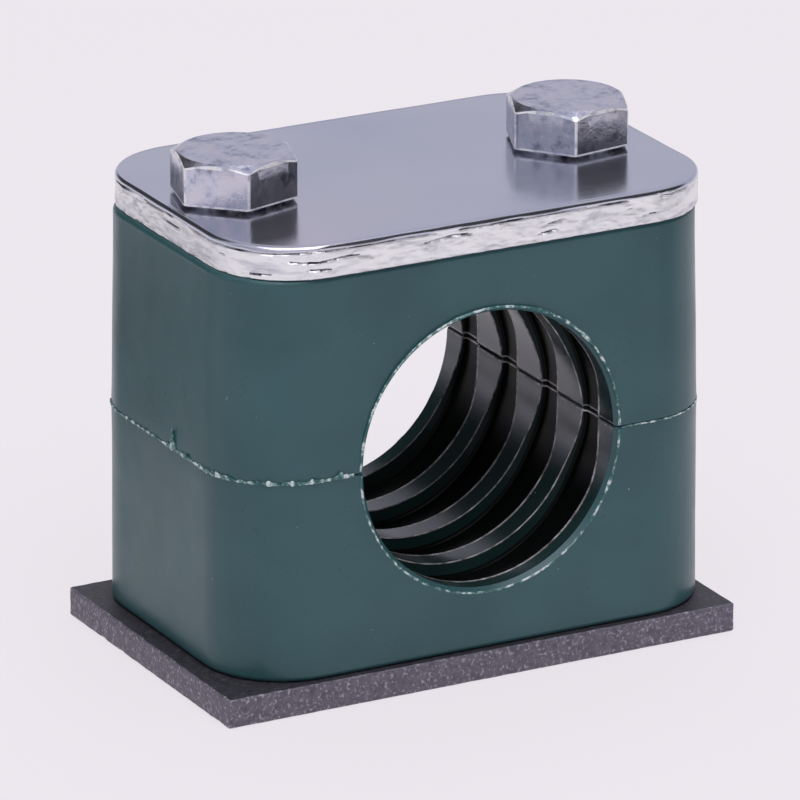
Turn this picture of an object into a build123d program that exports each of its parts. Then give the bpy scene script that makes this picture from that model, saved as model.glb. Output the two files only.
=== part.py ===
from build123d import *
import os
from math import cos, radians, tan

# Standard tube clamp in two moulded halves, on a weld plate, under a cover plate with two hex bolts.
# The origin is the centre of the weld plate's underside, +X runs along the clamp's length,
# +Y along the tube and +Z up.

# tube and bolts
tube_diameter = 25.0
tube_to_bolt_gap = 1.0
bolt_diameter = 6.0
bolt_thread_length = 18.0
bolt_tip_height = 1.5
thread_pitch = 1.0

# moulded halves
wall_over_tube = 5.5
bolt_to_end_distance = 7.2
body_width = 31.0
body_corner_radius = 7.5
body_draft_angle = 1.1
body_edge_chamfer = 0.4
parting_gap = 0.1

# ribs inside the bore
rib_count = 3
rib_crest_width = 2.6
land_width = 2.2
groove_depth = 1.3
groove_side_depth = 0.35
groove_flank_angle = 8.0
bore_rim_chamfer = 0.1

# weld plate
weld_plate_end_margin = 0.9
weld_plate_side_margin = 0.3
weld_plate_thickness = 2.6
weld_plate_edge_chamfer = 0.2
collar_wall = 1.85
collar_height = 3.5
collar_mouth_angle = 100.0
collar_mouth_flare = 1.0

# cover plate
cover_end_inset = 0.45
cover_plate_thickness = 2.8
cover_edge_chamfer = 0.35

# bolt heads
head_across_flats = 10.0
head_height = 4.0
head_chamfer_angle = 30.0
washer_face_height = 0.25
washer_face_inset = 0.4
tip_chamfer = 0.6
left_head_turn = 14.0
right_head_turn = 10.0

# clearances, each between one surface and the next
body_hole_clearance = 0.25
cover_hole_clearance = 0.3
collar_recess_clearance = 0.3
thread_running_clearance = 0.075

# The bolts stand just outside the tube, and the moulding ends a fixed distance outside them.
bore_radius = tube_diameter / 2
bolt_spacing = tube_diameter + bolt_diameter + 2 * tube_to_bolt_gap
bolt_x = bolt_spacing / 2
body_length = bolt_spacing + 2 * bolt_to_end_distance
half_height = bore_radius + wall_over_tube

# the plates follow the moulding's outline
weld_plate_length = body_length + 2 * weld_plate_end_margin
weld_plate_width = body_width + 2 * weld_plate_side_margin
cover_plate_length = body_length - 2 * cover_end_inset
cover_plate_width = body_width
cover_corner_radius = body_corner_radius

# heights of the stack, from the weld plate's underside
lower_base_z = weld_plate_thickness
parting_z = lower_base_z + half_height + parting_gap / 2
upper_top_z = parting_z + parting_gap / 2 + half_height
cover_top_z = upper_top_z + cover_plate_thickness
bolt_length = cover_top_z - bolt_tip_height

# the ribs share what the two end lands leave of the width
groove_count = rib_count + 1
groove_width = (body_width - 2 * land_width - rib_count * rib_crest_width) / groove_count
groove_pitch = groove_width + rib_crest_width

# A metric thread's pitch line lies 0.65 pitches under its outer diameter. Bolt, tapped hole,
# collar and recess follow one another outwards.
thread_diameter = bolt_diameter - 0.65 * thread_pitch
tapped_hole_diameter = thread_diameter + 2 * thread_running_clearance
collar_diameter = tapped_hole_diameter + 2 * collar_wall
collar_recess_diameter = collar_diameter + 2 * collar_recess_clearance
collar_recess_depth = collar_height + collar_recess_clearance
bolt_hole_diameter = bolt_diameter + 2 * body_hole_clearance
cover_hole_diameter = bolt_diameter + 2 * cover_hole_clearance

# Each groove is turned about an axis a little outside the parting plane, so it is deepest at the
# back of the bore and runs out shallow at the sides, where the bolt holes pass close behind it.
groove_axis_shift = (groove_depth - groove_side_depth) * 0.9
groove_radius = bore_radius + groove_depth - groove_axis_shift


def make_half():
    """One moulded half with its parting face on Z = 0 and its outer face below."""
    with BuildPart() as half:
        with BuildSketch() as outline:
            RectangleRounded(body_length, body_width, body_corner_radius)
        extrude(amount=-half_height, taper=body_draft_angle)
        outer_face = half.faces().sort_by(Axis.Z)[0]
        chamfer(outer_face.edges(), length=body_edge_chamfer)

        # the tube's bore, opened out a little at both rims
        with BuildSketch() as bore:
            with BuildLine():
                Polyline(
                    (0, -body_width / 2),
                    (bore_radius + bore_rim_chamfer, -body_width / 2),
                    (bore_radius, bore_rim_chamfer - body_width / 2),
                    (bore_radius, body_width / 2 - bore_rim_chamfer),
                    (bore_radius + bore_rim_chamfer, body_width / 2),
                    (0, body_width / 2),
                    close=True,
                )
            make_face()
        revolve(axis=Axis.Y, mode=Mode.SUBTRACT)

        # the grooves, which leave the ribs and the end lands standing
        for index in range(groove_count):
            groove_y = (index - (groove_count - 1) / 2) * groove_pitch
            floor_width = groove_width - 2 * groove_depth * tan(radians(groove_flank_angle))
            mouth_width = floor_width + 2 * groove_radius * tan(radians(groove_flank_angle))
            groove_plane = Plane(origin=(0, groove_y, -groove_axis_shift), x_dir=(1, 0, 0), z_dir=(0, 0, 1))
            with BuildSketch(groove_plane) as groove:
                with BuildLine():
                    Polyline(
                        (0, -mouth_width / 2),
                        (groove_radius, -floor_width / 2),
                        (groove_radius, floor_width / 2),
                        (0, mouth_width / 2),
                        close=True,
                    )
                make_face()
            groove_axis = Axis((0, 0, -groove_axis_shift), (0, 1, 0))
            revolve(axis=groove_axis, mode=Mode.SUBTRACT)

        # bolt holes, each with a recess in the outer face for a weld plate's collar
        with Locations(Plane((-bolt_x, 0, -half_height), z_dir=(0, 0, -1)),
                       Plane((bolt_x, 0, -half_height), z_dir=(0, 0, -1))):
            CounterBoreHole(bolt_hole_diameter / 2, collar_recess_diameter / 2, collar_recess_depth)
    return half.part


def make_bolt(head_turn):
    """A hex bolt with the underside of its head on Z = 0 and its shank below."""
    corner_radius = head_across_flats / 2 / cos(radians(30))
    chamfer_drop = (corner_radius - head_across_flats / 2) * tan(radians(head_chamfer_angle))
    with BuildPart() as bolt:
        with BuildSketch() as hexagon:
            RegularPolygon(corner_radius, 6, rotation=head_turn)
        extrude(amount=head_height)

        # the turned blank of the head: a washer face below and a chamfered top
        with BuildSketch(Plane.XZ) as blank:
            with BuildLine():
                Polyline(
                    (0, 0),
                    (head_across_flats / 2 - washer_face_inset, 0),
                    (head_across_flats / 2 - washer_face_inset, washer_face_height),
                    (corner_radius, washer_face_height),
                    (corner_radius, head_height - chamfer_drop),
                    (head_across_flats / 2, head_height),
                    (0, head_height),
                    close=True,
                )
            make_face()
        revolve(axis=Axis.Z, mode=Mode.INTERSECT)

        # shank, with the threaded end at its pitch diameter
        with BuildSketch(Plane.XZ) as shank:
            with BuildLine():
                Polyline(
                    (0, 0),
                    (bolt_diameter / 2, 0),
                    (bolt_diameter / 2, bolt_thread_length - bolt_length),
                    (thread_diameter / 2, bolt_thread_length - bolt_length),
                    (thread_diameter / 2, tip_chamfer - bolt_length),
                    (thread_diameter / 2 - tip_chamfer, -bolt_length),
                    (0, -bolt_length),
                    close=True,
                )
            make_face()
        revolve(axis=Axis.Z)
    return bolt.part


os.makedirs("parts", exist_ok=True)

# weld plate: a sheared plate with two tapped collars drawn up out of it
with BuildPart() as weld_plate:
    with BuildSketch() as blank:
        Rectangle(weld_plate_length, weld_plate_width)
    extrude(amount=weld_plate_thickness)
    chamfer(weld_plate.edges(), length=weld_plate_edge_chamfer)
    with BuildSketch(Plane.XY.offset(weld_plate_thickness)) as collars:
        with GridLocations(bolt_spacing, 0, 2, 1):
            Circle(collar_diameter / 2)
    extrude(amount=collar_height)
    collar_rims = weld_plate.edges().group_by(Axis.Z)[-1]
    chamfer(collar_rims, length=weld_plate_edge_chamfer)
    with Locations(Plane((-bolt_x, 0, 0), z_dir=(0, 0, -1)),
                   Plane((bolt_x, 0, 0), z_dir=(0, 0, -1))):
        CounterSinkHole(
            tapped_hole_diameter / 2,
            tapped_hole_diameter / 2 + collar_mouth_flare,
            counter_sink_angle=collar_mouth_angle,
        )
weld_plate.part.label = "weld_plate"

# the two halves are the same moulding, the upper one turned over about the tube
with BuildPart() as lower_half:
    add(make_half().moved(Location((0, 0, parting_z - parting_gap / 2))))
lower_half.part.label = "lower_half"

with BuildPart() as upper_half:
    add(make_half().moved(Location((0, 0, parting_z + parting_gap / 2), (0, 180, 0))))
upper_half.part.label = "upper_half"

# cover plate: punched from sheet, so its upper edge is drawn in
with BuildPart() as cover_plate:
    with BuildSketch(Plane.XY.offset(upper_top_z)) as cover_blank:
        RectangleRounded(cover_plate_length, cover_plate_width, cover_corner_radius)
    extrude(amount=cover_plate_thickness)
    cover_top = cover_plate.faces().sort_by(Axis.Z)[-1]
    chamfer(cover_top.edges(), length=cover_edge_chamfer)
    with GridLocations(bolt_spacing, 0, 2, 1):
        Hole(cover_hole_diameter / 2)
cover_plate.part.label = "cover_plate"

# the bolts hold everything down on the weld plate
with BuildPart() as left_bolt:
    add(make_bolt(left_head_turn).moved(Location((-bolt_x, 0, cover_top_z))))
left_bolt.part.label = "left_bolt"

with BuildPart() as right_bolt:
    add(make_bolt(right_head_turn).moved(Location((bolt_x, 0, cover_top_z))))
right_bolt.part.label = "right_bolt"

export_step(weld_plate.part, "parts/weld_plate.step")
export_step(lower_half.part, "parts/lower_half.step")
export_step(upper_half.part, "parts/upper_half.step")
export_step(cover_plate.part, "parts/cover_plate.step")
export_step(left_bolt.part, "parts/left_bolt.step")
export_step(right_bolt.part, "parts/right_bolt.step")
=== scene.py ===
import bpy
import bmesh
import math
from mathutils import Matrix, Vector, noise


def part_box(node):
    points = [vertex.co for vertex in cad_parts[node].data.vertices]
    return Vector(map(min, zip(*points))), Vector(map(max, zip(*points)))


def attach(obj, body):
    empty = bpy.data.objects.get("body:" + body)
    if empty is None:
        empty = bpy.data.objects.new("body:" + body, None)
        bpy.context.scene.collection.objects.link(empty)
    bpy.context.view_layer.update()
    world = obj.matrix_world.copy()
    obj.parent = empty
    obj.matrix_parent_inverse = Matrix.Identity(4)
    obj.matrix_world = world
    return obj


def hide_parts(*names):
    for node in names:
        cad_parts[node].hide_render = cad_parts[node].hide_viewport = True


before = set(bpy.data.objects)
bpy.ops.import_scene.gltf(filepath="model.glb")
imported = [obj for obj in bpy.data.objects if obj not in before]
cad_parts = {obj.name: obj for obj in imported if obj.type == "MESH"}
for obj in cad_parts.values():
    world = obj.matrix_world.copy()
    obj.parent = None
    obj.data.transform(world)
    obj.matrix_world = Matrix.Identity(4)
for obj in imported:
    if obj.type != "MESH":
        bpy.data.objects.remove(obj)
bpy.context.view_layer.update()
print("frame loaded")

mm = 0.001


def linear(value):
    value = value / 255
    return value / 12.92 if value <= 0.04045 else ((value + 0.055) / 1.055) ** 2.4


def paint(red, green, blue):  # a colour as it is read on screen, made linear
    return (linear(red), linear(green), linear(blue), 1.0)


def addObject(name, data):
    thing = bpy.data.objects.new(name, data)
    bpy.context.scene.collection.objects.link(thing)
    return thing


# ---- camera: long lens, a little above and to the left of the clamp
cameraSetup = {
    "azimuth": 28.1,      # degrees round to the left of the bore's axis
    "elevation": 19.48,
    "roll": 0.03,
    "distance": 0.7103,
    "slideRight": -0.00035,
    "slideUp": 0.00041,
    "aimHeight": 0.020,
    "lens": 365.8,
}


def placeCamera(setup):
    turn = math.radians(setup["azimuth"])
    rise = math.radians(setup["elevation"])
    back = Vector((-math.sin(turn) * math.cos(rise), -math.cos(turn) * math.cos(rise), math.sin(rise)))
    right = (-back).cross(Vector((0, 0, 1))).normalized()
    up = right.cross(-back)
    roll = math.radians(setup["roll"])
    rollRight = math.cos(roll) * right + math.sin(roll) * up
    rollUp = -math.sin(roll) * right + math.cos(roll) * up
    cameraData = bpy.data.cameras.new("studioCamera")
    camera = addObject("studioCamera", cameraData)
    place = back * setup["distance"] + rollRight * setup["slideRight"] + rollUp * setup["slideUp"]
    place.z += setup["aimHeight"]
    axes = Matrix((rollRight, rollUp, back)).transposed().to_4x4()
    camera.matrix_world = Matrix.Translation(place) @ axes
    cameraData.lens = setup["lens"]
    cameraData.clip_start = 0.01
    cameraData.clip_end = 20
    bpy.context.scene.camera = camera


placeCamera(cameraSetup)
bpy.context.scene.view_settings.view_transform = "Standard"
print("camera placed")


# ---- small helpers for node materials
def newMaterial(name):
    material = bpy.data.materials.new(name)
    material.use_nodes = True
    nodes = material.node_tree.nodes
    shader = nodes["Principled BSDF"]
    return material, nodes, material.node_tree.links, shader


def addNoise(nodes, links, scale, detail=4.0, roughness=0.55, stretch=(1, 1, 1), distortion=0.0):
    coords = nodes.new("ShaderNodeTexCoord")
    mapping = nodes.new("ShaderNodeMapping")
    mapping.inputs["Scale"].default_value = stretch
    texture = nodes.new("ShaderNodeTexNoise")
    texture.inputs["Scale"].default_value = scale
    texture.inputs["Detail"].default_value = detail
    texture.inputs["Roughness"].default_value = roughness
    texture.inputs["Distortion"].default_value = distortion
    links.new(coords.outputs["Object"], mapping.inputs["Vector"])
    links.new(mapping.outputs["Vector"], texture.inputs["Vector"])
    return texture.outputs["Fac"]


def addRamp(nodes, links, source, stops):
    ramp = nodes.new("ShaderNodeValToRGB")
    while len(ramp.color_ramp.elements) < len(stops):
        ramp.color_ramp.elements.new(0.5)
    for element, (place, colour) in zip(ramp.color_ramp.elements, stops):
        element.position = place
        element.color = colour
    links.new(source, ramp.inputs["Fac"])
    return ramp.outputs["Color"]


def addTones(nodes, links, source, tones):
    return addRamp(nodes, links, source, [(place, paint(*colour)) for place, colour in tones])


def feed(links, value, socket):
    # a value is either another node's output or a constant
    if hasattr(value, "is_linked"):
        links.new(value, socket)
    else:
        socket.default_value = value


def addMix(nodes, links, factor, first, second):
    mix = nodes.new("ShaderNodeMix")
    mix.data_type = "RGBA"
    for place, value in ((0, factor), (6, first), (7, second)):
        feed(links, value, mix.inputs[place])
    return mix.outputs[2]


def addBump(nodes, links, source, relief, shader, after=None):
    strength, height = relief
    bump = nodes.new("ShaderNodeBump")
    bump.inputs["Strength"].default_value = strength
    bump.inputs["Distance"].default_value = height
    links.new(source, bump.inputs["Height"])
    if after:
        links.new(after, bump.inputs["Normal"])
    links.new(bump.outputs["Normal"], shader.inputs["Normal"])
    return bump.outputs["Normal"]


def addFineBump(nodes, links, fine, shader, after=None):
    scale, strength, height = fine
    addBump(nodes, links, addNoise(nodes, links, scale, detail=3), (strength, height), shader, after=after)


def grey(level):
    return (level, level, level, 1.0)


def addGloss(nodes, links, source, levels, shader):
    rough = addRamp(nodes, links, source, [(place, grey(level)) for place, level in levels])
    links.new(rough, shader.inputs["Roughness"])


# ---- materials
plasticGrain = {             # noise scales that every surface of the mouldings shares
    "cloudScale": 90,
    "speckScale": 2600,
    "glossScale": 260,
    "waveScale": 110,
    "waveHeight": 0.0006,
    "fine": (3200, 0.12, 0.00006),          # scale, strength and height of the finest relief
    "index": 1.49,
}
plasticLook = {
    "name": "satinGreenPlastic",
    "tones": [(0.3, (48, 88, 92)), (0.5, (53, 94, 98)), (0.72, (59, 100, 104))],
    "speck": (150, 172, 174),
    "speckShare": 0.805,     # the higher, the fewer specks of moulding dust
    "gloss": [(0.3, 0.26), (0.7, 0.36)],
    "specular": 0.48,
    "tint": (0.93, 0.92, 1.0, 1.0),
    "bump": 0.25,
}
boreShadeLook = {                 # the bore was moulded on a polished core; its darker greens are painted shade inside the bore
    "name": "boreGreenShadedPlastic",
    "tones": [(0.3, (27, 49, 49)), (0.5, (32, 56, 56)), (0.72, (38, 63, 63))],
    "speck": (190, 200, 204),
    "speckShare": 0.79,
    "gloss": [(0.3, 0.16), (0.7, 0.24)],
    "specular": 0.85,
    "tint": (0.88, 0.87, 1.0, 1.0),
    "bump": 0.10,
}
flankShadeLook = {                # the ribs' sides, duller than their crests; their darker greens are painted shade
    "name": "flankGreenShadedPlastic",
    "tones": [(0.3, (20, 40, 40)), (0.5, (26, 48, 48)), (0.72, (31, 55, 55))],
    "speck": (150, 165, 168),
    "speckShare": 0.80,
    "gloss": [(0.3, 0.3), (0.7, 0.4)],
    "specular": 0.12,
    "tint": (1.0, 1.0, 1.0, 1.0),
    "bump": 0.12,
}
grooveShadeLook = {               # painted shade: near-black on the grooves' floors, which hardly catch the light
    "name": "grooveGreenShadedPlastic",
    "tones": [(0.3, (8, 11, 11)), (0.5, (12, 15, 15)), (0.72, (17, 21, 21))],
    "speck": (150, 160, 165),
    "speckShare": 0.82,
    "gloss": [(0.3, 0.2), (0.7, 0.3)],
    "specular": 0.06,
    "tint": (1.0, 1.0, 1.0, 1.0),
    "bump": 0.12,
}


def makeGreenPlastic(look, grain):
    material, nodes, links, shader = newMaterial(look["name"])
    broad = addNoise(nodes, links, grain["cloudScale"], detail=3)
    cloud = addTones(nodes, links, broad, look["tones"])
    specks = addNoise(nodes, links, grain["speckScale"], detail=1.0)
    share = look["speckShare"]
    speckMask = addRamp(nodes, links, specks, [(share, grey(0)), (share + 0.03, grey(1))])
    colour = addMix(nodes, links, speckMask, cloud, paint(*look["speck"]))
    links.new(colour, shader.inputs["Base Color"])
    gloss = addNoise(nodes, links, grain["glossScale"], detail=5)
    addGloss(nodes, links, gloss, look["gloss"], shader)
    shader.inputs["Specular IOR Level"].default_value = look["specular"]
    shader.inputs["Specular Tint"].default_value = look["tint"]
    shader.inputs["IOR"].default_value = grain["index"]
    wave = addNoise(nodes, links, grain["waveScale"], detail=2)
    first = addBump(nodes, links, wave, (look["bump"], grain["waveHeight"]), shader)
    addFineBump(nodes, links, grain["fine"], shader, after=first)
    return material


# ---- worn parts of the plastic, and the zinc plating
flashLook = {                # thin pale fins, where the moulding squeezed out; their near-white tones are also a painted highlight
    "name": "palePlasticFlashAndHighlight",
    "cloud": {"scale": 1500, "detail": 3, "roughness": 0.6},
    "tones": [(0.42, (44, 100, 98)), (0.52, (120, 158, 158)), (0.59, (222, 236, 236))],
    "metallic": 0.0,
    "roughness": 0.35,
    "bump": (0.4, 0.0001),
}
ribEdgeHighlightLook = {              # painted highlight along the ribs' corners
    "name": "paintedHighlightRibEdge",
    "cloud": {"scale": 900, "detail": 4, "roughness": 0.65},
    "tones": [(0.38, (92, 96, 98)), (0.54, (186, 178, 184)), (0.70, (250, 250, 252))],
    "metallic": 0.0,
    "roughness": 0.3,
    "bump": (0.3, 0.0001),
}
zincHighlightLook = {           # painted highlight along the bolts' corners, the chamfer's end and the flats' foot
    "name": "zincPaintedHighlight",
    "cloud": {"scale": 900, "detail": 4, "roughness": 0.6},
    "tones": [(0.38, (192, 197, 214)), (0.52, (250, 250, 252))],
    "metallic": 0.35,
    "roughness": 0.45,
    "bump": (0.3, 0.0001),
}
crackShadeLook = {                # painted shade in the cracks of the sheared wall, and painted shade under the bolt heads
    "name": "zincPlateCrackShade",
    "cloud": {"scale": 420, "detail": 4, "roughness": 0.6},
    "tones": [(0.42, (58, 58, 70)), (0.60, (206, 206, 216))],
    "metallic": 0.4,
    "roughness": 0.6,
    "bump": (0.4, 0.0002),
}
zincSheetLook = {
    "name": "zincPlatedSheet",
    "cloud": {"scale": 45, "detail": 2},
    "tones": [(0.3, (192, 197, 214)), (0.5, (202, 205, 219)), (0.7, (209, 207, 219))],
    "metallic": 0.95,
    "streaks": {"scale": 300, "detail": 6, "stretch": (0.35, 3.0, 1)},  # marks rolled along the sheet
    "gloss": [(0.3, 0.15), (0.7, 0.20)],
    "fine": (2400, 0.08, 0.00003),
}
zincTearLook = {
    "name": "zincPlatedShearedEdge",
    "cloud": {"scale": 260, "detail": 6, "roughness": 0.62, "stretch": (1, 1, 2.6), "distortion": 0.5},
    "tones": [(0.30, (206, 206, 216)), (0.46, (250, 250, 252)), (0.62, (250, 250, 252)),
              (0.75, (206, 206, 216))],
    "metallic": 0.75,
    "gloss": [(0.4, 0.5), (0.6, 0.32)],
    "bump": (0.5, 0.00025),
}
zincBoltLook = {
    "name": "zincPlatedBolt",
    "cloud": {"scale": 620, "detail": 7, "roughness": 0.68},
    "tones": [(0.36, (150, 148, 168)), (0.46, (192, 197, 214)), (0.56, (209, 207, 219))],
    "metallic": 0.95,
    "gloss": [(0.3, 0.14), (0.7, 0.24)],
    "bump": (0.35, 0.0002),
    "fine": (1800, 0.15, 0.00004),
}


def makeFinish(look):
    # one cloudy noise sets the colour and, where the look has them, the gloss and the relief
    material, nodes, links, shader = newMaterial(look["name"])
    cloud = addNoise(nodes, links, **look["cloud"])
    links.new(addTones(nodes, links, cloud, look["tones"]), shader.inputs["Base Color"])
    shader.inputs["Metallic"].default_value = look["metallic"]
    if "gloss" in look:
        streaks = addNoise(nodes, links, **look["streaks"]) if "streaks" in look else cloud
        addGloss(nodes, links, streaks, look["gloss"], shader)
    else:
        shader.inputs["Roughness"].default_value = look["roughness"]
    relief = addBump(nodes, links, cloud, look["bump"], shader) if "bump" in look else None
    if "fine" in look:
        addFineBump(nodes, links, look["fine"], shader, after=relief)
    return material


# ---- steel of the weld plate
steelGrain = {
    "cloudScale": 1100,
    "fleckScale": 3300,
    "metallic": 0.2,
    "gloss": [(0.3, 0.45), (0.7, 0.6)],
    "bump": (0.3, 0.00015),
    "fleckBump": (0.25, 0.00005),
}
# painted shade: the plate's top, underside and collars take this darker steel, while the sheared sides stay
# lighter
shadedSteelLook = {
    "name": "steelPaintedShade",
    "tones": [(0.35, (48, 47, 53)), (0.65, (66, 64, 71))],
    "speck": (110, 107, 116),
    "fleckShare": 0.5,
}
shearedLook = {
    "name": "shearedSteelEdge",
    "tones": [(0.35, (92, 87, 101)), (0.65, (124, 118, 133))],
    "speck": (196, 191, 204),
    "fleckShare": 0.8,
}


def makeSteel(look, grain):
    material, nodes, links, shader = newMaterial(look["name"])
    cloud = addNoise(nodes, links, grain["cloudScale"], detail=8, roughness=0.7)
    base = addTones(nodes, links, cloud, look["tones"])
    flecks = addNoise(nodes, links, grain["fleckScale"], detail=3)
    fleckMask = addRamp(nodes, links, flecks, [(0.54, grey(0)), (0.72, grey(look["fleckShare"]))])
    colour = addMix(nodes, links, fleckMask, base, paint(*look["speck"]))
    links.new(colour, shader.inputs["Base Color"])
    shader.inputs["Metallic"].default_value = grain["metallic"]
    addGloss(nodes, links, cloud, grain["gloss"], shader)
    first = addBump(nodes, links, cloud, grain["bump"], shader)
    addBump(nodes, links, flecks, grain["fleckBump"], shader, after=first)
    return material


greenPlastic = makeGreenPlastic(plasticLook, plasticGrain)
boreShadedPlastic = makeGreenPlastic(boreShadeLook, plasticGrain)
grooveShadedPlastic = makeGreenPlastic(grooveShadeLook, plasticGrain)
flankShadedPlastic = makeGreenPlastic(flankShadeLook, plasticGrain)
paleFlashAndHighlight = makeFinish(flashLook)
ribEdgeHighlight = makeFinish(ribEdgeHighlightLook)
zincSheet = makeFinish(zincSheetLook)
zincTear = makeFinish(zincTearLook)
zincPaintedShade = makeFinish(crackShadeLook)
zincHighlight = makeFinish(zincHighlightLook)
zincBolt = makeFinish(zincBoltLook)
shadedTopSteel = makeSteel(shadedSteelLook, steelGrain)
shearedSteel = makeSteel(shearedLook, steelGrain)
print("materials made")


# ---- helpers for meshes, which are all worked out in millimetres
def finishMesh(name, mesh, materials=(), smoothAngle=30.0):
    builder = bmesh.new()
    builder.from_mesh(mesh)
    bmesh.ops.recalc_face_normals(builder, faces=builder.faces)
    limit = math.radians(smoothAngle)
    for face in builder.faces:
        face.smooth = True
    for edge in builder.edges:
        if len(edge.link_faces) == 2:
            edge.smooth = edge.calc_face_angle(0.0) < limit
    builder.to_mesh(mesh)
    builder.free()
    piece = addObject(name, mesh)
    for material in materials:
        piece.data.materials.append(material)
    return piece


def weighNormals(piece):
    modifier = piece.modifiers.new("evenNormals", "WEIGHTED_NORMAL")
    modifier.keep_sharp = True
    modifier.weight = 80


def waver(point, scale, level):
    # smooth noise over the plan of a piece
    return noise.noise(Vector((point.x * scale, point.y * scale, level)))


def roundedOutline(length, width, radius, spacing=0.5):
    # points round a rectangle with round corners, evenly spaced, with their outward directions
    points = []
    runX = length - 2 * radius
    runY = width - 2 * radius
    corners = [(runX / 2, -runY / 2, -90), (runX / 2, runY / 2, 0), (-runX / 2, runY / 2, 90),
               (-runX / 2, -runY / 2, 180)]
    arcSteps = max(6, int(radius * math.pi / 2 / spacing))
    for index, (x, y, start) in enumerate(corners):
        for step in range(arcSteps + 1):
            angle = math.radians(start + 90 * step / arcSteps)
            out = Vector((math.cos(angle), math.sin(angle)))
            points.append((Vector((x, y)) + radius * out, out))
        nextX, nextY = corners[(index + 1) % 4][:2]
        out = Vector((math.cos(math.radians(start + 90)), math.sin(math.radians(start + 90))))
        first = Vector((x, y)) + radius * out
        last = Vector((nextX, nextY)) + radius * out
        runSteps = max(2, int((last - first).length / spacing))
        for step in range(1, runSteps):
            points.append((first.lerp(last, step / runSteps), out))
    return points


def stackRings(builder, rings, capped=True, slotOf=None):
    # skins closed rings of equal length into a tube, with flat caps
    made = [[builder.verts.new(point) for point in ring] for ring in rings]
    count = len(made[0])
    for level in range(len(made) - 1):
        for index in range(count):
            nextIndex = (index + 1) % count
            face = builder.faces.new((made[level][index], made[level][nextIndex],
                                      made[level + 1][nextIndex], made[level + 1][index]))
            if slotOf:
                face.material_index = slotOf(level, index)
    if capped:
        builder.faces.new(list(reversed(made[0])))
        builder.faces.new(made[-1])
    return made


def meshFrom(builder, name):
    bmesh.ops.recalc_face_normals(builder, faces=builder.faces)
    mesh = bpy.data.meshes.new(name)
    builder.to_mesh(mesh)
    builder.free()
    mesh.transform(Matrix.Scale(mm, 4))
    return mesh


def cutAway(mesh, cutters, name, materials):
    # takes the cutter meshes out of a mesh and gives the result, with every face's material slot kept
    for part in [mesh] + cutters:
        for material in materials:
            part.materials.append(material)
    body = addObject(name + "Blank", mesh)
    helpers = []
    for cutter in cutters:
        modifier = body.modifiers.new("cut", "BOOLEAN")
        modifier.operation = "DIFFERENCE"
        modifier.solver = "EXACT"
        modifier.object = addObject(name + "Cutter", cutter)
        helpers.append(modifier.object)
    bpy.context.view_layer.update()
    seen = body.evaluated_get(bpy.context.evaluated_depsgraph_get())
    result = bpy.data.meshes.new_from_object(seen)
    for helper in helpers + [body]:
        bpy.data.objects.remove(helper)
    return result


def circleRing(centre, radius, height, steps=64):
    x, y = centre
    turns = [2 * math.pi * step / steps for step in range(steps)]
    return [(x + radius * math.cos(turn), y + radius * math.sin(turn), height) for turn in turns]


def turnedCutter(name, profile, centre):
    # a closed turned shape about an upright axis: profile is a list of (radius, height)
    builder = bmesh.new()
    stackRings(builder, [circleRing(centre, radius, height) for radius, height in profile])
    return meshFrom(builder, name)


def holeCutters(sizes, name, profile):
    # the same turned cutter at both bolts
    return [turnedCutter(name, profile, (side * sizes["boltSpacing"] / 2, 0.0)) for side in (-1, 1)]


# heights read from the frame, in millimetres
seatZ, partingLowZ = (corner.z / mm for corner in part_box("lower_half"))
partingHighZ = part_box("upper_half")[0].z / mm
coverZ, headZ = (corner.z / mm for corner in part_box("cover_plate"))
boreZ = (partingLowZ + partingHighZ) / 2

# ---- moulded halves
halfSizes = {
    "length": 47.4,
    "width": 31.0,
    "cornerRadius": 7.5,
    "draft": {"lower": -0.12, "upper": 0.345},   # how far each side leans in over the half's height
    "outerRound": 0.5,
    "partingRound": 0.12,
    "boreRadius": 12.5,
    "landWidth": 2.2,
    "ribWidth": 2.6,
    "ribCount": 3,
    "grooveDepth": 1.3,
    "grooveSideDepth": 0.35,
    "grooveCorner": 0.25,    # height and width of the bevel along a groove's floor
    "grooveCornerRun": 0.2,
    "mouthAtSides": 0.58,    # share of the groove's full width at the parting plane
    "mouthAtBottom": 1.02,
    "mouthFullSine": 0.5,    # sine of the angle from which the mouth has its full width
    "flankLean": 0.14,       # flank run-in for each millimetre of depth
    "crestRound": 0.08,
    "highlightWidth": 0.25,     # painted highlight strip along the far edge of each rib
    "rimChamfer": 0.40,
    "boreSqueeze": 0.98,     # the bore is pinched a little sideways
    "boreShiftX": 0.2,
    "partingLip": 0.20,      # round of the bore's edges at the parting plane
    "partingLipDegrees": 1.2,
    "partingHighlightDegrees": (0.5, 1.4),    # painted highlight strip beside the parting plane
    "sinkDepth": 0.05,       # a moulding is never quite flat: broad shallow sinks in the walls
    "sinkScale": 0.09,
    "sinkFade": 2.0,         # the sinks fade out this near to an edge
    "sinkInset": 0.03,
    "boltSpacing": 33.0,
    "boltHoleRadius": 3.25,
    "recessRadius": 4.9,
    "recessDepth": 3.8,
}


def grooveFloorRadius(sizes, angle):
    # distance from the bore's axis to a groove's floor, which is turned about a shifted axis
    shift = (sizes["grooveDepth"] - sizes["grooveSideDepth"]) * 0.9
    radius = sizes["boreRadius"] + sizes["grooveDepth"] - shift
    along = shift * abs(math.sin(angle))
    return along + math.sqrt(along * along - shift * shift + radius * radius)


# material slots of a moulded half
outerSlot, shadedBoreSlot, shadedGrooveSlot, highlightEdgeSlot, shadedFlankSlot = 0, 1, 2, 3, 4


def mouthShare(sizes, angle):
    # a groove's mouth narrows where the groove runs out toward the parting plane
    rise = min(1.0, abs(math.sin(angle)) / sizes["mouthFullSine"])
    atSides, atBottom = sizes["mouthAtSides"], sizes["mouthAtBottom"]
    return atSides + (atBottom - atSides) * rise * rise * (3 - 2 * rise)


def awayFromParting(degree):
    return abs((degree + 90) % 180 - 90)


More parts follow.
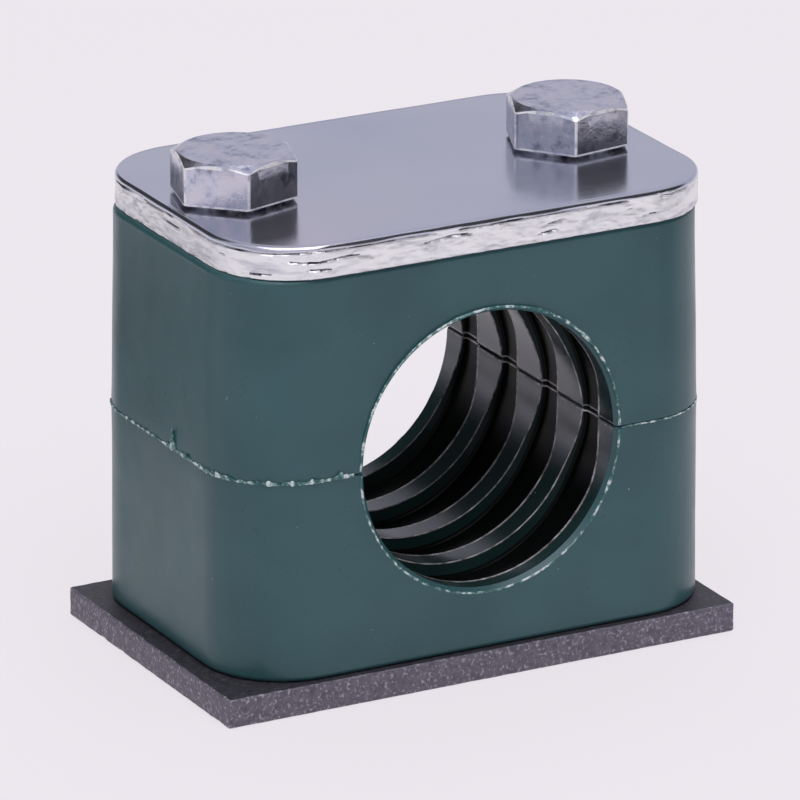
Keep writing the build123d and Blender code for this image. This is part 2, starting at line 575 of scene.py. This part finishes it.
def borePlace(sizes, radius, angle, y):
    # a point of the bore, which is pinched a little sideways
    return (sizes["boreShiftX"] + sizes["boreSqueeze"] * radius * math.cos(angle), y,
            boreZ + radius * math.sin(angle))


def boreStations(sizes):
    # the bore's profile along its axis: kind, middle, side, extra radius, slot of the strip that follows
    width = sizes["width"]
    rim = sizes["rimChamfer"]
    grooveCount = sizes["ribCount"] + 1
    grooveWidth = (width - 2 * sizes["landWidth"] - sizes["ribCount"] * sizes["ribWidth"]) / grooveCount
    pitch = grooveWidth + sizes["ribWidth"]
    crest = sizes["crestRound"]
    corner = sizes["grooveCorner"]
    stations = [("plain", -width / 2 - 1.0, 0.0, rim, outerSlot), ("plain", -width / 2, 0.0, rim, outerSlot),
                ("plain", -width / 2 + rim, 0.0, 0.0, shadedBoreSlot)]
    for index in range(grooveCount):
        middle = (index - (grooveCount - 1) / 2) * pitch
        half = grooveWidth / 2
        # the crests' rounded corners, and a strip along each far edge, carry a painted highlight
        stations += [("crest", middle, -half, -crest - sizes["highlightWidth"], highlightEdgeSlot),
                     ("crest", middle, -half, -crest, highlightEdgeSlot), ("crest", middle, -half, crest, shadedGrooveSlot),
                     ("floor", middle, -half, corner, shadedGrooveSlot), ("floor", middle, -half, 0.0, shadedGrooveSlot),
                     ("floor", middle, half, 0.0, shadedGrooveSlot), ("floor", middle, half, corner, shadedFlankSlot),
                     ("crest", middle, half, crest, highlightEdgeSlot), ("crest", middle, half, -crest, shadedBoreSlot)]
    stations += [("plain", width / 2 - rim, 0.0, 0.0, outerSlot), ("plain", width / 2, 0.0, rim, outerSlot),
                 ("plain", width / 2 + 1.0, 0.0, rim, outerSlot)]
    return stations


def borePoint(sizes, station, degree):
    kind, middle, side, extra, _ = station
    angle = math.radians(degree)
    radius = sizes["boreRadius"]
    floor = grooveFloorRadius(sizes, angle)
    lip = sizes["partingLip"] * max(0.0, 1.0 - awayFromParting(degree) / sizes["partingLipDegrees"])
    lip *= 0.7 + 0.9 * noise.noise(Vector((middle * 0.6 + side * 0.9, degree * 0.01, 4.0)))
    outward = 1 if side > 0 else -1
    mouth = side * mouthShare(sizes, angle)
    if kind == "plain":
        return borePlace(sizes, radius + extra + lip, angle, middle)
    if kind == "crest":  # below zero, the extra lies along the crest, and above it, down the flank
        y = middle + mouth + outward * max(0.0, -extra)
        return borePlace(sizes, radius + max(0.0, extra) + lip, angle, y)
    y = middle + mouth - outward * (floor - radius) * sizes["flankLean"]
    if extra:
        return borePlace(sizes, floor - extra, angle, y)
    return borePlace(sizes, floor + lip * 0.5, angle, y - outward * sizes["grooveCornerRun"])


def boreCutter(sizes):
    stations = boreStations(sizes)
    # angles round the bore, closer together at the parting plane so that its edges are rounded
    nearOffsets = (-1.5, -0.8, -0.2, 0.2, 0.8, 1.5)
    last = nearOffsets[-1]
    degrees = []
    for start in (0, 180):
        degrees += [start + offset for offset in nearOffsets]
        degrees += [start + last + (180 - 2 * last) * step / 60 for step in range(1, 60)]
    degrees.sort()
    builder = bmesh.new()
    rings = [[borePoint(sizes, station, degree) for degree in degrees] for station in stations]
    nearest, farthest = sizes["partingHighlightDegrees"]

    def slotOf(level, index):
        middleDegree = (degrees[index] + degrees[(index + 1) % len(degrees)]) / 2
        inside = 1 < level < len(stations) - 3
        # a painted highlight strip runs beside the parting plane
        if inside and nearest < awayFromParting(middleDegree) < farthest:
            return highlightEdgeSlot
        return stations[level][4]

    stackRings(builder, rings, slotOf=slotOf)
    return meshFrom(builder, "boreCutter")


def halfBlank(sizes, partingZ, outerZ, name):
    direction = 1 if outerZ > partingZ else -1
    draft = sizes["draft"]["upper" if direction > 0 else "lower"]
    height = abs(outerZ - partingZ)
    levels = [(0.0, -sizes["partingRound"]), (sizes["partingRound"] * 0.35, -sizes["partingRound"] * 0.35),
              (sizes["partingRound"], 0.0)]
    levels += [(height * step / 12, 0.0) for step in range(1, 12)]
    edge = sizes["outerRound"]
    for step in range(6):
        angle = math.radians(90 * step / 5)
        levels.append((height - edge + edge * math.sin(angle), -edge + edge * math.cos(angle)))
    builder = bmesh.new()
    outline = roundedOutline(sizes["length"], sizes["width"], sizes["cornerRadius"])
    scale = sizes["sinkScale"]
    rings = []
    for climb, inset in levels:
        lean = draft * climb / height
        ring = []
        for point, out in outline:
            sink = sizes["sinkDepth"] * waver(point, scale, climb * scale + direction * 7)
            fade = min(1.0, climb / sizes["sinkFade"], (height - climb) / sizes["sinkFade"])
            place = point + out * (inset - lean + sink * fade - sizes["sinkInset"] * fade)
            ring.append((place.x, place.y, partingZ + direction * climb))
        rings.append(ring)
    stackRings(builder, rings)
    return meshFrom(builder, name)


def makeHalf(sizes, name, node, body, partingZ, outerZ):
    direction = 1 if outerZ > partingZ else -1
    blank = halfBlank(sizes, partingZ, outerZ, name)
    recessFloor = outerZ - direction * sizes["recessDepth"]
    profile = [(sizes["boltHoleRadius"], partingZ - direction * 1.0), (sizes["boltHoleRadius"], recessFloor),
               (sizes["recessRadius"], recessFloor), (sizes["recessRadius"], outerZ + direction * 1.0)]
    cutters = [boreCutter(sizes)] + holeCutters(sizes, name + "Hole", profile)
    # the bore's, grooves' and flanks' plastics carry painted shade, and the rib edges carry a painted
    # highlight
    halfMaterials = [greenPlastic, boreShadedPlastic, grooveShadedPlastic, ribEdgeHighlight, flankShadedPlastic]
    piece = finishMesh(name, cutAway(blank, cutters, name, halfMaterials), smoothAngle=35)
    weighNormals(piece)
    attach(piece, body)
    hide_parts(node)


makeHalf(halfSizes, "lowerMouldedHalf", "lower_half", "base", partingLowZ, seatZ)
makeHalf(halfSizes, "upperMouldedHalf", "upper_half", "top", partingHighZ, coverZ)
print("moulded halves made")


# ---- flash: thin ragged fins left by the mould along the parting line and round the bore's rims
flashSizes = {
    "spacing": 0.16,
    "rimRadius": 0.11,       # bead round the bore's rims, and how much it swells
    "rimSwell": 0.11,
    "rimFlatten": 0.7,
    "partingHeight": 0.15,   # fin along the parting line, and how much it rises
    "partingSwell": 0.30,
    "proud": 0.06,           # how far the fin stands out of the wall
    "proudSwell": 0.20,
    "rootDepth": 0.25,       # how deep the fin's root lies in the wall
    "backShare": 0.6,        # the fin is lower at the back and at the right end
    "rightShare": 0.35,
    # taller curls of flash: place along the line, height and reach
    "spurs": [(-23.7, -2.4, 1.9, 0.5), (-22.6, -12.6, 0.7, 0.6), (-20.6, -14.9, 0.8, 0.5),
              (-14.4, -15.5, 0.45, 0.4)],
    "spurProud": 0.1,
}


def rimArc(sizes, y, outwardY, start, end, seed, builder):
    radius = halfSizes["boreRadius"] + halfSizes["rimChamfer"]
    count = int(math.radians(end - start) * radius / sizes["spacing"])
    rings = []
    for step in range(count + 1):
        angle = math.radians(start + (end - start) * step / count)
        lump = max(0.0, noise.noise(Vector((math.cos(angle) * 9, math.sin(angle) * 9, seed))))
        size = sizes["rimRadius"] + sizes["rimSwell"] * lump
        ring = []
        for corner in range(6):
            turn = 2 * math.pi * corner / 6
            proud = size * sizes["rimFlatten"] * math.sin(turn) + 0.01
            ring.append(borePlace(halfSizes, radius + size * math.cos(turn), angle, y + outwardY * proud))
        rings.append(ring)
    stackRings(builder, rings)


def partingFin(sizes, side, builder):
    # runs round one end of the clamp, from the bore's front rim to its back rim
    outline = roundedOutline(halfSizes["length"], halfSizes["width"], halfSizes["cornerRadius"],
                             spacing=sizes["spacing"])
    reach = halfSizes["boreRadius"] + halfSizes["rimChamfer"] + 0.1
    run = [(point, out) for point, out in outline if point.x * side > reach]
    run.sort(key=lambda item: math.atan2(item[0].y, item[0].x * side))
    rings = []
    for point, out in run:
        strength = (1.0 if point.y < 0 else sizes["backShare"]) * (1.0 if side < 0 else sizes["rightShare"])
        lump = noise.fractal(Vector((point.x * 1.1, point.y * 1.1, 2.0)), 0.6, 2.2, 4)
        fine = waver(point, 4.0, 8.0)
        swell = max(0.0, 0.35 + lump + 0.5 * fine) * strength
        rise = sizes["partingHeight"] * strength + sizes["partingSwell"] * swell
        proud = sizes["proud"] * strength + sizes["proudSwell"] * swell
        drop = 0.04 + 0.10 * max(0.0, fine) * strength
        for x, y, tall, reachOut in sizes["spurs"]:
            near = max(0.0, 1.0 - (point - Vector((x, y))).length / reachOut)
            rise += tall * near * near
            proud += sizes["spurProud"] * near
        base = point - out * sizes["rootDepth"]
        tip = point + out * proud
        shoulder = point + out * proud * 0.7
        rings.append([(base.x, base.y, partingLowZ - 0.05), (shoulder.x, shoulder.y, partingLowZ - drop),
                      (tip.x, tip.y, partingLowZ + rise * 0.35), (shoulder.x, shoulder.y, partingLowZ + rise),
                      (base.x, base.y, partingLowZ + rise * 0.5)])
    stackRings(builder, rings)


def makeFlash(sizes, name, body, arc, withParting):
    builder = bmesh.new()
    faceY = halfSizes["width"] / 2
    rimArc(sizes, -faceY, -1, arc[0], arc[1], 3.0, builder)
    rimArc(sizes, faceY, 1, arc[0], arc[1], 6.0, builder)
    if withParting:
        partingFin(sizes, -1, builder)
        partingFin(sizes, 1, builder)
    piece = finishMesh(name, meshFrom(builder, name), [paleFlashAndHighlight], smoothAngle=50)
    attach(piece, body)


makeFlash(flashSizes, "lowerMouldFlash", "base", (181.0, 359.0), True)
makeFlash(flashSizes, "upperMouldFlash", "top", (1.0, 179.0), False)
print("mould flash made")


# ---- cover plate
coverSizes = {
    "length": 46.6,
    "width": 31.4,
    "cornerRadius": 7.6,
    "shiftX": 0.35,          # play of the plate on its bolts
    "shiftY": 0.2,
    "extraHeight": 0.15,
    "roll": 0.45,            # round of the upper edge, drawn in by the punch
    "rollInShare": 0.8,
    "lowerBevel": (0.10, 0.08),             # inset and height
    # the top's rim, inside the roll: how far below the top, and how far in
    "rimSteps": [(0.05, 0.10), (0.04, 0.20), (0.0, 0.34)],
    "wander": 0.04,
    "wallSteps": 24,
    "tearDepth": 0.07,
    "tearFadeShare": 0.15,   # the tear fades out just under the roll
    # height share, wander, seed and unbroken share of each ragged crack
    "cracks": [(0.95, 0.03, 1.0, 1.1), (0.68, 0.16, 5.0, 0.15), (0.30, 0.2, 7.5, -0.1)],
    "crackDepth": 0.16,
    "crackShare": 0.055,     # half a crack's height, as a share of the wall
    "crackShadedFrom": 0.45,      # where a crack is deeper than this share, it gets painted shade
    "notches": [(-17.4, 0.30), (16.4, 0.22)],           # place along the front wall and depth
    "notchLean": 0.35,
    "notchWidths": (0.22, 0.35),            # half width at the foot, and what it gains up the wall
    "notchFoot": 0.15,       # height share where a notch starts
    "holeRadius": 3.3,
    "boltSpacing": 33.0,
}
coverTopZ = headZ + coverSizes["extraHeight"]
sheetSlot, tearSlot, crackShadeSlot = 0, 1, 2


def coverCrack(sizes, point, share):
    # how deep the ragged cracks are at one place of the sheared wall, from 0 to 1
    depth = 0.0
    for height, wander, seed, unbroken in sizes["cracks"]:
        line = height + wander * waver(point, 0.22, seed)
        strength = max(0.0, min(1.0, unbroken + 2.2 * waver(point, 0.35, seed + 2.5)))
        near = max(0.0, 1.0 - abs(share - line) / sizes["crackShare"])
        depth = max(depth, strength * near)
    return depth


def coverWallDepth(sizes, point, climb, top):
    # how far the sheared wall is torn back at one place
    share = climb / top
    spot = Vector((point.x * 0.9, point.y * 0.9, climb * 1.6))
    fade = max(0.0, min(1.0, (1 - share) / sizes["tearFadeShare"]))
    depth = sizes["tearDepth"] * (0.5 + noise.fractal(spot, 0.7, 2.2, 4)) * fade
    depth += sizes["crackDepth"] * coverCrack(sizes, point, share)
    width, gain = sizes["notchWidths"]
    if point.y < 0:
        for x, notchDepth in sizes["notches"]:
            middle = x + sizes["notchLean"] * (share - 0.5)
            near = max(0.0, 1.0 - abs(point.x - middle) / (width + gain * share))
            depth += notchDepth * near * max(0.0, share - sizes["notchFoot"])
    return depth


def coverLevels(sizes, thickness, top):
    # heights up the plate's edge and how far in the edge stands there
    bevelIn, bevelUp = sizes["lowerBevel"]
    wallSteps = sizes["wallSteps"]
    levels = [(0.0, -bevelIn), (bevelUp, 0.0)]
    levels += [(bevelUp + (top - bevelUp) * step / wallSteps, 0.0) for step in range(1, wallSteps + 1)]
    rollIn = sizes["roll"] * sizes["rollInShare"]
    for step in range(1, 6):
        angle = math.radians(90 * step / 5)
        levels.append((top + sizes["roll"] * math.sin(angle), -rollIn * (1 - math.cos(angle))))
    levels += [(thickness - drop, -rollIn - inset) for drop, inset in sizes["rimSteps"]]
    return levels


def makeCoverPlate(sizes):
    thickness = coverTopZ - coverZ
    top = thickness - sizes["roll"]
    outline = roundedOutline(sizes["length"], sizes["width"], sizes["cornerRadius"], spacing=0.22)
    levels = coverLevels(sizes, thickness, top)
    builder = bmesh.new()
    rings = []
    for climb, inset in levels:
        ring = []
        for point, out in outline:
            depth = coverWallDepth(sizes, point, climb, top) if climb <= top else 0.0
            place = point + out * (inset - depth + sizes["wander"] * waver(point, 0.3, 9.0))
            ring.append((place.x + sizes["shiftX"], place.y + sizes["shiftY"], coverZ + climb))
        rings.append(ring)

    def slotOf(level, index):
        if level > sizes["wallSteps"]:
            return sheetSlot
        share = (levels[level][0] + levels[level + 1][0]) / 2 / top
        # deep cracks get painted shade
        cracked = coverCrack(sizes, outline[index][0], share) > sizes["crackShadedFrom"]
        return crackShadeSlot if cracked else tearSlot

    stackRings(builder, rings, slotOf=slotOf)
    blank = meshFrom(builder, "coverPlateBlank")
    profile = [(sizes["holeRadius"], coverZ - 1.0), (sizes["holeRadius"], coverTopZ + 1.0)]
    cutters = holeCutters(sizes, "coverHole", profile)
    mesh = cutAway(blank, cutters, "coverPlate", [zincSheet, zincTear, zincPaintedShade])
    piece = finishMesh("punchedCoverPlate", mesh, smoothAngle=38)
    weighNormals(piece)
    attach(piece, "top")
    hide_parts("cover_plate")


makeCoverPlate(coverSizes)
print("cover plate made")


# ---- hex bolts
boltSizes = {
    "acrossFlats": 10.0,
    "headHeight": 4.2,
    "cornerRound": 0.06,
    "highlightCornerDegrees": 1.3,
    "chamferAngle": 30.0,
    "chamferStart": 0.95,    # share of half the flats' width where the top's flat ends
    "chamferEdge": 0.1,      # the chamfer stops this short of the flats
    "topRadii": (0.6, 1.4, 2.3, 3.2, 4.0),
    "topDish": 0.05,         # the forged top is a little uneven
    "topSink": 0.03,
    "sideSink": 0.3,         # the flats start at least this far below the top
    "sideRound": 0.10,
    "sideDrops": (1.2, 2.2),
    "highlightFoot": (0.22, 0.06),             # painted highlight strip round the flats' foot, above the washer face
    "footBevel": 0.12,
    "washerRadius": 4.6,
    "washerHeight": 0.30,
    "shankRadius": 3.0,
    "shankRound": 0.15,
    "threadRoot": 2.45,
    "threadOuter": 2.95,
    "threadLength": 18.0,
    "threadRunOut": 0.6,
    "stepsPerPitch": 8,
    "pitch": 1.0,
    "length": 40.0,
    "steps": 144,
}
boltPlaces = [
    # name, node, body, place and turn in degrees
    ("leftHexBolt", "left_bolt", "left bolt", (-16.4, 0.25), 15.5),
    ("rightHexBolt", "right_bolt", "right bolt", (16.25, 0.25), 8.5),
]
platedSlot, highlightZincSlot, shadeSlot = 0, 1, 2


def hexRadius(angle, sizes, turn):
    # distance to the hexagon's side, with its corners taken off a little
    flat = sizes["acrossFlats"] / 2
    sector = (angle - turn - math.radians(30)) % math.radians(60)
    offset = min(sector, math.radians(60) - sector)
    radius = flat / math.cos(offset)
    corner = flat / math.cos(math.radians(30)) - sizes["cornerRound"]
    return min(radius, corner)


def bentRing(radii, heights, angles):
    return [(radius * math.cos(a), radius * math.sin(a), height)
            for a, radius, height in zip(angles, radii, heights)]


def headTop(sizes, turnDegrees, angles, edges):
    # rings from the top's middle out over the chamfer, then down the flats
    topRadius = sizes["acrossFlats"] / 2 * sizes["chamferStart"]
    slope = math.tan(math.radians(sizes["chamferAngle"]))
    high = sizes["headHeight"]

    def coneHeight(radius):
        return high - max(0.0, radius - topRadius) * slope

    def uneven(x, y):
        return sizes["topDish"] * noise.noise(Vector((x * 0.5 + turnDegrees, y * 0.5, 1.0)))

    rings = []
    for radius in sizes["topRadii"] + (topRadius - 0.2,):
        spots = [(radius * math.cos(a), radius * math.sin(a)) for a in angles]
        rings.append([(x, y, high - sizes["topSink"] + uneven(x, y)) for x, y in spots])
    for share in (0.0, 0.5, 1.0):
        radii = [topRadius + (edge - sizes["chamferEdge"] - topRadius) * share for edge in edges]
        rings.append(bentRing(radii, [coneHeight(radius) for radius in radii], angles))
    sides = [min(coneHeight(edge), high - sizes["sideSink"]) for edge in edges]
    rings.append(bentRing(edges, [side - sizes["sideRound"] for side in sides], angles))
    for drop in sizes["sideDrops"]:
        heights = [side - drop * ((coneHeight(edge) - 0.5) / 3.5) for edge, side in zip(edges, sides)]
        rings.append(bentRing(edges, heights, angles))
    return rings


def threadRings(sizes, angles):
    # rolled thread: a helix of rounded ridges, fading out at both ends
    threadTop = sizes["threadLength"] - sizes["length"]
    perPitch = sizes["stepsPerPitch"]
    levels = int(sizes["threadLength"] / sizes["pitch"] * perPitch)
    spread = sizes["threadOuter"] - sizes["threadRoot"]
    rings = [circleRing((0.0, 0.0), sizes["shankRadius"], threadTop + sizes["threadRunOut"], len(angles))]
    for level in range(levels + 1):
        height = threadTop - sizes["threadLength"] * level / levels
        ends = min(1.0, level / perPitch, (levels - level) / perPitch)
        radii = []
        for a in angles:
            phase = (height / sizes["pitch"] - a / (2 * math.pi)) % 1.0
            ridge = 0.5 + 0.5 * math.cos(2 * math.pi * phase)
            radii.append(sizes["threadRoot"] + spread * ridge * ends)
        rings.append(bentRing(radii, [height] * len(angles), angles))
    return rings


def makeBolt(sizes, name, node, body, place, turnDegrees):
    steps = sizes["steps"]
    angles = [2 * math.pi * step / steps for step in range(steps)]
    edges = [hexRadius(a, sizes, math.radians(turnDegrees)) for a in angles]
    rings = headTop(sizes, turnDegrees, angles, edges)
    chamferEnd = len(rings) - 4
    washer = sizes["washerHeight"]
    footHigh, footLow = sizes["highlightFoot"]
    footTop = len(rings)
    for height, inset in ((washer + footHigh, 0.0), (washer + footLow, 0.0), (washer, sizes["footBevel"])):
        rings.append(bentRing([edge - inset for edge in edges], [height] * steps, angles))
    for radius, height in ((sizes["washerRadius"], washer), (sizes["washerRadius"], 0.0),
                           (sizes["shankRadius"] + sizes["shankRound"], 0.0), (sizes["shankRadius"], -0.2)):
        rings.append(circleRing((0.0, 0.0), radius, height, steps))
    rings += threadRings(sizes, angles)

    def slotOf(level, index):
        sector = (math.degrees(angles[index] + math.pi / steps) - turnDegrees) % 60
        atCorner = min(sector, 60 - sector) < sizes["highlightCornerDegrees"]
        # painted highlights along the chamfer's end, the flats' foot and the head's corners
        if level in (chamferEnd, footTop) or (atCorner and chamferEnd <= level <= footTop):
            return highlightZincSlot
        # painted shade under the head: its bottom bevel, underside and washer wall
        return shadeSlot if footTop < level <= footTop + 3 else platedSlot

    builder = bmesh.new()
    stackRings(builder, rings, slotOf=slotOf)
    bmesh.ops.translate(builder, verts=builder.verts, vec=(place[0], place[1], coverTopZ))
    piece = finishMesh(name, meshFrom(builder, name), [zincBolt, zincHighlight, zincPaintedShade], smoothAngle=28)
    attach(piece, body)
    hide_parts(node)


for boltPlace in boltPlaces:
    makeBolt(boltSizes, *boltPlace)
print("bolts made")


# ---- weld plate
weldPlateSizes = {
    "length": 49.8,
    "width": 31.1,
    "thickness": 2.6,
    "cornerRadius": 0.3,
    "shiftX": -0.68,         # the blank is sheared a little off the collars' centre
    "shiftY": -0.75,
    "edgeRound": 0.16,
    "roughDepth": 0.05,      # the sheared sides are rough and nicked
    "nickDepth": 0.3,
    "nickFrom": 0.35,
    "collarRadius": 4.6,
    "collarHeight": 3.5,
    "collarRound": 0.3,
    "collarRoot": 0.6,       # how deep the collar's foot lies in the plate
    "collarFillet": 0.2,
    "holeRadius": 3.05,
    "mouthFlare": 1.0,
    "mouthDepth": 0.85,
    "boltSpacing": 33.0,
}


def addCollar(sizes, builder, x):
    # a collar drawn up from the plate, as a closed ring that the plate's top runs through
    inner = sizes["holeRadius"]
    outer = sizes["collarRadius"]
    thickness = sizes["thickness"]
    edge = sizes["collarRound"]
    top = thickness + sizes["collarHeight"]
    foot = thickness - sizes["collarRoot"]
    rootRadius = outer + sizes["collarFillet"]
    profile = [(inner + 0.02, foot), (inner + 0.02, top - edge), (inner + edge, top), (outer - edge, top),
               (outer, top - edge), (outer, thickness + edge), (rootRadius, thickness - 0.02),
               (rootRadius, foot)]
    rings = [circleRing((x, 0.0), radius, height) for radius, height in profile]
    made = stackRings(builder, rings, capped=False)
    first, last = made[0], made[-1]
    for index in range(len(first)):
        nextIndex = (index + 1) % len(first)
        builder.faces.new((first[index], first[nextIndex], last[nextIndex], last[index]))


def makeWeldPlate(sizes):
    outline = roundedOutline(sizes["length"], sizes["width"], sizes["cornerRadius"], spacing=0.35)
    edge = sizes["edgeRound"]
    thickness = sizes["thickness"]
    levels = [(0.0, -edge), (edge * 0.4, -edge * 0.3), (edge, 0.0), (thickness * 0.35, 0.0),
              (thickness * 0.65, 0.0), (thickness - edge, 0.0), (thickness - edge * 0.4, -edge * 0.3),
              (thickness, -edge)]
    builder = bmesh.new()
    rings = []
    for climb, inset in levels:
        ring = []
        for point, out in outline:
            rough = noise.fractal(Vector((point.x * 0.8, point.y * 0.8, climb * 1.2)), 0.8, 2.1, 4)
            nick = max(0.0, waver(point, 0.7, climb * 0.6 + 5.0) - sizes["nickFrom"])
            place = point + out * (inset + sizes["roughDepth"] * rough - sizes["nickDepth"] * nick)
            ring.append((place.x + sizes["shiftX"], place.y + sizes["shiftY"], climb))
        rings.append(ring)
    stackRings(builder, rings, slotOf=lambda level, index: 1)
    for side in (-1, 1):
        addCollar(sizes, builder, side * sizes["boltSpacing"] / 2)
    blank = meshFrom(builder, "weldPlateBlank")
    flare = sizes["holeRadius"] + sizes["mouthFlare"]
    profile = [(flare + 0.2, -0.2), (flare, 0.0), (sizes["holeRadius"], sizes["mouthDepth"]),
               (sizes["holeRadius"], thickness + sizes["collarHeight"] + 1.0)]
    cutters = holeCutters(sizes, "collarHole", profile)
    mesh = cutAway(blank, cutters, "weldPlate", [shadedTopSteel, shearedSteel])
    piece = finishMesh("shearedWeldPlate", mesh, smoothAngle=35)
    weighNormals(piece)
    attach(piece, "base")
    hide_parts("weld_plate")


makeWeldPlate(weldPlateSizes)
print("weld plate made")


# ---- floor, world and lamps
studio = {
    "backdrop": (240, 235, 241),
    "floorShown": 0.80,      # share of the backdrop's own colour in the floor
    # painted reflections: dark spots on the floor that only glossy rays see: x, y, inner and outer radius,
    # share taken
    "floorCards": [(-0.076, 0.078, 0.020, 0.055, 0.85), (0.140, -0.105, 0.040, 0.062, 0.95)],
    "worldStrength": 0.25,   # soft fill from all round
    "mirrored": (0.58, 0.57, 0.65, 1.0),    # what polished metal sees round it
    # darker panels that reflections show: azimuth, elevation, inner and outer radius in degrees, level
    "panels": [(-42, 20, 26, 42, 0.02), (182, 20, 8, 22, 0.40), (112, 28, 18, 34, 0.02)],
    "lamps": [
        # name, place, aim, width, height, watts, colour, seen in reflections
        ("keySoftbox", (-0.12, -0.40, 0.95), (0, 0, 0.02), 1.0, 1.0, 6.5, (1.0, 0.98, 1.0), True),
        ("backSoftbox", (0.15, 0.30, 0.90), (0, 0, 0.02), 0.8, 0.8, 3.0, (0.97, 0.98, 1.0), False),
    ],
}


def addMath(nodes, links, operation, first, second):
    result = nodes.new("ShaderNodeMath")
    result.operation = operation
    feed(links, first, result.inputs[0])
    feed(links, second, result.inputs[1])
    return result.outputs[0]


def addShaderMix(nodes, links, factor, first, second):
    mix = nodes.new("ShaderNodeMixShader")
    for socket, source in zip(mix.inputs, (factor, first, second)):
        links.new(source, socket)
    return mix.outputs[0]


def addFade(nodes, links, source, start, end, most):
    # rises smoothly from nothing at the start to the most at the end
    fade = nodes.new("ShaderNodeMapRange")
    fade.interpolation_type = "SMOOTHSTEP"
    fade.inputs["From Min"].default_value = start
    fade.inputs["From Max"].default_value = end
    fade.inputs["To Max"].default_value = most
    links.new(source, fade.inputs["Value"])
    return fade.outputs["Result"]


def makeFloor(setup):
    material, nodes, links, shader = newMaterial("paleFloor")
    shader.inputs["Base Color"].default_value = paint(*setup["backdrop"])
    shader.inputs["Roughness"].default_value = 0.9
    shader.inputs["Specular IOR Level"].default_value = 0.1
    glow = nodes.new("ShaderNodeEmission")
    path = nodes.new("ShaderNodeLightPath")
    place = nodes.new("ShaderNodeNewGeometry")
    shown = paint(*setup["backdrop"])
    # painted reflection: the floor is darker here only where glossy rays look
    for x, y, inner, outer, taken in setup["floorCards"]:
        apart = nodes.new("ShaderNodeVectorMath")
        apart.operation = "DISTANCE"
        apart.inputs[1].default_value = (x, y, 0.0)
        links.new(place.outputs["Position"], apart.inputs[0])
        darkSpot = addFade(nodes, links, apart.outputs["Value"], outer, inner, taken)
        glossyDarkSpot = addMath(nodes, links, "MULTIPLY", darkSpot, path.outputs["Is Glossy Ray"])
        shown = addMix(nodes, links, glossyDarkSpot, shown, grey(0.0))
    links.new(shown, glow.inputs["Color"])
    either = addMath(nodes, links, "MAXIMUM", path.outputs["Is Camera Ray"], path.outputs["Is Glossy Ray"])
    share = addMath(nodes, links, "MULTIPLY", either, setup["floorShown"])
    mixed = addShaderMix(nodes, links, share, shader.outputs[0], glow.outputs[0])
    links.new(mixed, nodes["Material Output"].inputs["Surface"])
    mesh = bpy.data.meshes.new("studioFloor")
    reach = 8.0
    mesh.from_pydata([(-reach, -reach, 0), (reach, -reach, 0), (reach, reach, 0), (-reach, reach, 0)], [],
                     [(0, 1, 2, 3)])
    floor = addObject("studioFloor", mesh)
    mesh.materials.append(material)
    floor.location.z = -0.00002


def makeWorld(setup):
    world = bpy.data.worlds.new("studioWorld")
    world.use_nodes = True
    bpy.context.scene.world = world
    nodes = world.node_tree.nodes
    links = world.node_tree.links
    fill = nodes["Background"]
    fill.inputs["Color"].default_value = paint(*setup["backdrop"])
    fill.inputs["Strength"].default_value = setup["worldStrength"]
    coords = nodes.new("ShaderNodeTexCoord")
    seen = setup["mirrored"]
    for azimuth, elevation, inner, outer, level in setup["panels"]:
        turn, rise = math.radians(azimuth), math.radians(elevation)
        dot = nodes.new("ShaderNodeVectorMath")
        dot.operation = "DOT_PRODUCT"
        dot.inputs[1].default_value = (math.cos(turn) * math.cos(rise), math.sin(turn) * math.cos(rise),
                                       math.sin(rise))
        links.new(coords.outputs["Generated"], dot.inputs[0])
        start, end = math.cos(math.radians(outer)), math.cos(math.radians(inner))
        panel = addFade(nodes, links, dot.outputs["Value"], start, end, 1.0)
        seen = addMix(nodes, links, panel, seen, grey(level))
    mirrored = nodes.new("ShaderNodeBackground")
    links.new(seen, mirrored.inputs["Color"])
    backdrop = nodes.new("ShaderNodeBackground")
    backdrop.inputs["Color"].default_value = paint(*setup["backdrop"])
    path = nodes.new("ShaderNodeLightPath")
    forMetal = addShaderMix(nodes, links, path.outputs["Is Glossy Ray"], fill.outputs[0], mirrored.outputs[0])
    forCamera = addShaderMix(nodes, links, path.outputs["Is Camera Ray"], forMetal, backdrop.outputs[0])
    links.new(forCamera, nodes["World Output"].inputs["Surface"])


def makeLamps(setup):
    for name, place, aim, width, height, watts, colour, mirrored in setup["lamps"]:
        lampData = bpy.data.lights.new(name, "AREA")
        lampData.shape = "RECTANGLE"
        lampData.size = width
        lampData.size_y = height
        lampData.energy = watts
        lampData.color = colour
        lamp = addObject(name, lampData)
        lamp.visible_glossy = mirrored
        lamp.location = place
        lamp.rotation_euler = (Vector(aim) - Vector(place)).to_track_quat("-Z", "Y").to_euler()


makeFloor(studio)
makeWorld(studio)
makeLamps(studio)
print("studio lit")
